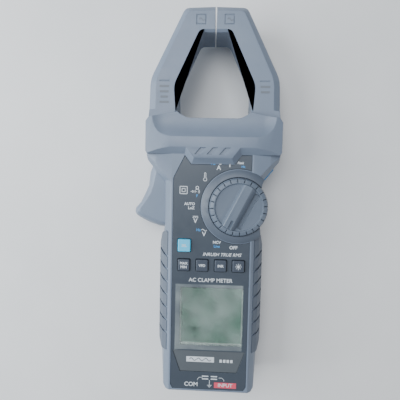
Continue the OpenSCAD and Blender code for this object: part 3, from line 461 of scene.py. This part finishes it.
white.word("OFF", round_dial(265), MEDIUM, z, weight=BOLD)
p = round_dial(242, 31 * MM)
white.word("NCV", beside(p, 0, 1.5), SMALL, z, weight=BOLD)
blue.word("Live", beside(p, 0, -1.4), SMALL, z, weight=BOLD * 0.6)
p = round_dial(219, 31.5 * MM)
white.wave(beside(p, 0.6, 2.6), 3.6 * MM, 0.7 * MM, 0.5 * MM, z)
white.word("V", beside(p, 0.6, -0.4), LARGE, z, weight=BOLD)
blue.word("Hz", beside(p, -3.4, 2.6), SMALL, z, weight=BOLD * 0.6)
p = round_dial(199, 32 * MM)
white.bar(beside(p, -1.9, 3.0), beside(p, 1.9, 3.0), 0.45 * MM, z)
for dx in (-1.5, 0, 1.5):
    white.bar(beside(p, dx - 0.5, 2.0), beside(p, dx + 0.5, 2.0), 0.45 * MM, z)
white.word("V", beside(p, 0, -0.4), LARGE, z, weight=BOLD)
p = round_dial(180, 34.2 * MM)
white.word("AUTO", beside(p, -0.4, 1.4), SMALL, z, weight=BOLD)
white.word("LoZ", beside(p, 0.8, -1.5), SMALL, z, weight=BOLD)
p = round_dial(161, 32 * MM)
white.word("Ω", beside(p, 0.9, 2.4), MEDIUM, z, weight=BOLD)
white.prism([beside(p, -2.6, 0.9), beside(p, -2.6, -1.1), beside(p, -0.7, -0.1)], z)
white.bar(beside(p, -0.6, 0.9), beside(p, -0.6, -1.1), 0.4 * MM, z)
white.bar(beside(p, -3.8, -0.1), beside(p, 0.6, -0.1), 0.35 * MM, z)
for r in (0.9, 1.7):
    white.ring(beside(p, 0.9, -0.1), r * MM, 0.35 * MM, z, -50, 50, 8)
blue.word("F", beside(p, 0.8, -3.2), SMALL, z, weight=BOLD * 0.6)
p = round_dial(139, 32.2 * MM)
white.ring(beside(p, 0.4, -2.0), 1.15 * MM, 0.45 * MM, z, 115, 425, 18)
white.line([beside(p, -0.1, -1.0), beside(p, -0.1, 2.4), beside(p, 0.4, 2.9), beside(p, 0.9, 2.4),
            beside(p, 0.9, -1.0)], 0.42 * MM, z)
p = round_dial(118, 31.5 * MM)
white.wave(beside(p, 0.4, 2.7), 3.6 * MM, 0.7 * MM, 0.5 * MM, z)
white.word("A", beside(p, 0.4, -0.4), LARGE, z, weight=BOLD)
blue.word("Hz", beside(p, -3.6, 2.6), SMALL, z, weight=BOLD * 0.6)
p = round_dial(99, 30.4 * MM)
white.disc(beside(p, -1.9, 1.0), 1.15 * MM, z)
white.bar(beside(p, -1.9, 0.5), beside(p, -1.9, -1.9), 0.7 * MM, z)
p = round_dial(91, 30.2 * MM)
white.word("Peak", beside(p, 1.4, 0.9), SMALL * 0.85, z, weight=BOLD * 0.7, slant=0.25)
blue.word("Hz", beside(p, 3.4, -1.7), SMALL * 0.85, z, weight=BOLD * 0.6)

# square double-insulation symbol beside the dial
square = Vector((panel_low.x + 7.2 * MM, knob_mid.y + 11.2 * MM))
for half, width in ((2.6, 0.5), (1.15, 0.45)):
    h = half * MM
    white.line([(square.x - h, square.y - h), (square.x + h, square.y - h), (square.x + h, square.y + h),
                (square.x - h, square.y + h), (square.x - h, square.y - h)], width * MM, z)

# legends around the keys and the display
white.word("INRUSH TRUE RMS", (window_mid.x + 6.6 * MM, centre("select_key").y - 6.2 * MM),
           3.3 * MM, z, slant=0.3, weight=BOLD * 0.6)
white.word("AC CLAMP METER", (window_mid.x - 1.0 * MM, (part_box("peak_key")[0].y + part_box("display_window")[1].y) / 2),
           3.9 * MM, z, weight=BOLD * 0.7)

# frame lines of the lower label, and the socket legends
label_low, label_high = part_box("label_plate")
label_mid = (label_low + label_high) / 2
white_line = 0.28 * MM
lead_y = (label_low.y + panel_low.y) / 2
com, jack = centre("com_socket"), centre("input_socket")
legend_y = panel_low.y + 3.4 * MM
white.word("COM", (com.x + 0.3 * MM, legend_y), LARGE, z, weight=BOLD)
pink.prism([(jack.x - 8.1 * MM, legend_y - 2.1 * MM), (jack.x + 8.1 * MM, legend_y - 2.1 * MM),
            (jack.x + 8.1 * MM, legend_y + 2.1 * MM), (jack.x - 8.1 * MM, legend_y + 2.1 * MM)], z)
white.word("INPUT", (jack.x, legend_y), LARGE * 0.86, z + INK * 1.2, weight=BOLD * 0.6)
bracket_top = legend_y + 5.6 * MM
for side, x in ((-1, com.x + 5 * MM), (1, jack.x - 1 * MM)):
    white.line([(x, legend_y + 3.2 * MM), (x, bracket_top - 1.4 * MM), (x - side * 1.4 * MM, bracket_top),
                (x - side * 3.8 * MM, bracket_top)], white_line, z)
mid_x = (com.x + jack.x) / 2 + 1.2 * MM
white.bar((mid_x, legend_y + 3.6 * MM), (mid_x, legend_y - 0.2 * MM), 0.4 * MM, z)
for i, half in enumerate((1.7, 1.1, 0.5)):
    white.bar((mid_x - half * MM, legend_y - (0.2 + 0.7 * i) * MM), (mid_x + half * MM, legend_y - (0.2 + 0.7 * i) * MM),
              0.35 * MM, z)
for row in (0, 1):
    white.bar((mid_x - 5.6 * MM, bracket_top + (0.9 - 2.0 * row) * MM), (mid_x - 0.9 * MM, bracket_top + (0.9 - 2.0 * row) * MM),
              0.8 * MM, z)
    white.bar((mid_x + 0.9 * MM, bracket_top + (0.9 - 2.0 * row) * MM), (mid_x + 5.6 * MM, bracket_top + (0.9 - 2.0 * row) * MM),
              0.8 * MM, z)
white.done()
blue.done()
pink.done()

# generic name plate with a sine, and a plain bar beside it
plate = Ink("label_print", "case", white_ink)
sign = Ink("label_sign", "case", grey_ink)
lz = top_of("label_plate")
plate_mid = Vector((label_mid.x - 6.0 * MM, label_mid.y + 1.4 * MM))
plate.prism([(plate_mid.x - 10.2 * MM, plate_mid.y - 2 * MM), (plate_mid.x + 10.2 * MM, plate_mid.y - 2 * MM),
             (plate_mid.x + 10.2 * MM, plate_mid.y + 2 * MM), (plate_mid.x - 10.2 * MM, plate_mid.y + 2 * MM)], lz)
for k in (-1, 0, 1):
    sign.wave((plate_mid.x + k * 5.4 * MM, plate_mid.y), 5.0 * MM, 1.0 * MM, 0.55 * MM, lz + INK * 1.2)
for i in range(4):
    x = label_mid.x + (8.2 + 2.6 * i) * MM
    plate.bar((x, label_mid.y + 0.7 * MM), (x + 1.8 * MM, label_mid.y + 0.7 * MM), 2.2 * MM, lz)
plate.done()
sign.done()

# ---------- key legends ----------

for node, words in (("select_key", ["SEL"]), ("peak_key", ["MAX", "MIN"]), ("filter_key", ["VFD"]),
                    ("inrush_key", ["INR"])):
    ink = Ink(node + "_print", node_bodies[node], white_ink)
    mid, kz = centre(node), top_of(node)
    for i, text in enumerate(words):
        y = mid.y + ((len(words) - 1) / 2 - i) * 2.7 * MM
        ink.word(text, (mid.x, y), 2.6 * MM, kz, weight=BOLD * (0.4 if node == "select_key" else 0.9))
    ink.done()
ink = Ink("light_key_print", node_bodies["light_key"], white_ink)
mid, kz = centre("light_key"), top_of("light_key")
ink.disc((mid.x, mid.y), 0.95 * MM, kz)
for i in range(8):
    a = math.radians(45 * i)
    ink.bar((mid.x + 1.25 * MM * math.cos(a), mid.y + 1.25 * MM * math.sin(a)),
            (mid.x + 2.3 * MM * math.cos(a), mid.y + 2.3 * MM * math.sin(a)), 0.38 * MM, kz)
ink.done()

# ---------- jaw marks ----------

jz = top_of("left_jaw_front")
for side, body, rows, row_x in ((-1, "left_jaw", 4, 35.8), (1, "right_jaw", 2, 35.6)):
    ink = Ink(body + "_marks", body, grey_ink)
    for i in range(rows):
        y = (83.6 - 3.7 * i) * MM
        half = (3.4, 3.1, 2.6, 3.3)[i] * MM
        ink.bar((side * row_x * MM - half, y), (side * row_x * MM + half, y), 1.5 * MM, jz, 0.12 * MM)
    ink.wave((side * 9.9 * MM, 129.7 * MM), 3.8 * MM, 0.9 * MM, 0.6 * MM, jz)
    ink.done()

# ---------- protective film, lifting at one corner -----------


def film_material():
    """Clear film with milky patches where air is trapped under it."""
    n = Nodes("film_skin")
    n.set(Base_Color=(0.82, 0.93, 0.92, 1), IOR=1.5)
    n.link(n.level(n.noise(90, 3), 0.06, 0.22), n.shader.inputs["Roughness"])
    n.link(n.level(n.noise(42, 3, 0.5), 0.0, 0.13), n.shader.inputs["Alpha"])
    n.bump(n.noise(160, 2), 0.12 * MM, 0.5)
    return n.material


def film():
    low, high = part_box("display_film")
    across, along = 48, 48
    form = bmesh.new()
    rows = []
    for j in range(along + 1):
        row = []
        for i in range(across + 1):
            u, v = i / across, j / along
            x = low.x + (high.x - low.x) * u
            y = low.y + (high.y - low.y) * v
            blister = sum(h * math.exp(-((u - a) ** 2 + (v - b) ** 2) / s ** 2) for a, b, s, h in (
                (0.30, 0.32, 0.14, 0.42), (0.55, 0.40, 0.12, 0.34), (0.62, 0.12, 0.13, 0.30), (0.25, 0.92, 0.16, 0.35),
                (0.80, 0.70, 0.08, 0.15), (0.15, 0.62, 0.09, 0.22)))
            curl = max(0.0, 1 - math.hypot(u / 0.16, v / 0.3)) ** 2 * 1.2
            row.append(form.verts.new((x, y, high.z + (blister + curl) * MM)))
        rows.append(row)
    for a, b in zip(rows, rows[1:]):
        for i in range(across):
            form.faces.new((a[i], a[i + 1], b[i + 1], b[i]))
    mesh = bpy.data.meshes.new("film_skin")
    form.to_mesh(mesh)
    form.free()
    mesh.shade_smooth()
    obj = bpy.data.objects.new("display_film_skin", mesh)
    bpy.context.scene.collection.objects.link(obj)
    thick = obj.modifiers.new("thickness", "SOLIDIFY")
    thick.thickness = 0.12 * MM
    thick.offset = -1
    paint(obj, film_material())
    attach(obj, "case")
    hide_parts("display_film")


film()

# ---------- trigger spring ----------


def spring():
    low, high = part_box("trigger_spring")
    mid = (low + high) / 2
    wire = 0.45 * MM
    r = (high.y - low.y) / 2 - wire
    turns, steps = 6, 28
    curve = bpy.data.curves.new("spring_wire", "CURVE")
    curve.dimensions = "3D"
    curve.bevel_depth = wire
    curve.bevel_resolution = 3
    curve.use_fill_caps = True
    line = curve.splines.new("POLY")
    count = turns * steps
    line.points.add(count)
    for i in range(count + 1):
        a = 2 * math.pi * i / steps
        x = low.x + wire + (high.x - low.x - 2 * wire) * i / count
        line.points[i].co = (x, mid.y + r * math.cos(a), mid.z + r * math.sin(a), 1)
    temp = bpy.data.objects.new("spring_wire", curve)
    bpy.context.scene.collection.objects.link(temp)
    bpy.context.view_layer.update()
    mesh = bpy.data.meshes.new_from_object(temp.evaluated_get(bpy.context.evaluated_depsgraph_get()))
    bpy.data.objects.remove(temp)
    mesh.shade_smooth()
    obj = bpy.data.objects.new("trigger_spring_coil", mesh)
    bpy.context.scene.collection.objects.link(obj)
    paint(obj, steel)
    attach(obj, "case")
    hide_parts("trigger_spring")
    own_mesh(obj)


spring()

# ---------- stage, light and camera ----------

floor_material = Nodes("floor_pale")
floor_material.link(floor_material.ramp(floor_material.noise(9, 3), [(0.3, (0.74, 0.74, 0.745)), (0.7, (0.80, 0.80, 0.80))]),
                    floor_material.shader.inputs["Base Color"])
floor_material.set(Roughness=0.8)
bpy.ops.mesh.primitive_plane_add(size=6, location=(0, 0, cad_low.z - 0.0005))
floor = bpy.context.object
floor.name = "floor"
paint(floor, floor_material.material)


def lamp(name, place, aim, size, watts, colour):
    light = bpy.data.lights.new(name, "AREA")
    light.shape = "RECTANGLE"
    light.size, light.size_y = size
    light.energy = watts
    light.color = colour
    obj = bpy.data.objects.new(name, light)
    obj.location = place
    obj.rotation_euler = (Vector(aim) - Vector(place)).to_track_quat("-Z", "Y").to_euler()
    bpy.context.scene.collection.objects.link(obj)


lamp("key_light", (-0.75, 0.05, 0.42), (0, 0, 0.02), (0.7, 0.9), 13.0, (0.90, 0.96, 1.0))
lamp("top_light", (-0.15, 0.35, 0.95), (0, 0, 0), (0.6, 0.6), 6.5, (0.95, 0.98, 1.0))
lamp("fill_light", (0.7, -0.35, 0.5), (0, 0, 0.02), (0.6, 0.6), 1.6, (1.0, 0.97, 0.94))
world = bpy.data.worlds.new("studio")
world.use_nodes = True
world.node_tree.nodes["Background"].inputs["Color"].default_value = (0.78, 0.84, 0.92, 1)
world.node_tree.nodes["Background"].inputs["Strength"].default_value = 0.34
bpy.context.scene.world = world

camera_data = bpy.data.cameras.new("camera")
camera_data.lens = 29.7
camera_data.sensor_width = 36
camera_data.clip_start, camera_data.clip_end = 0.01, 20
camera = bpy.data.objects.new("camera", camera_data)
camera.location = (0.0011, 0.0176, 0.2744)
camera.rotation_euler = tuple(math.radians(a) for a in (-3.468, 2.425, 1.2))
bpy.context.scene.collection.objects.link(camera)
bpy.context.scene.camera = camera
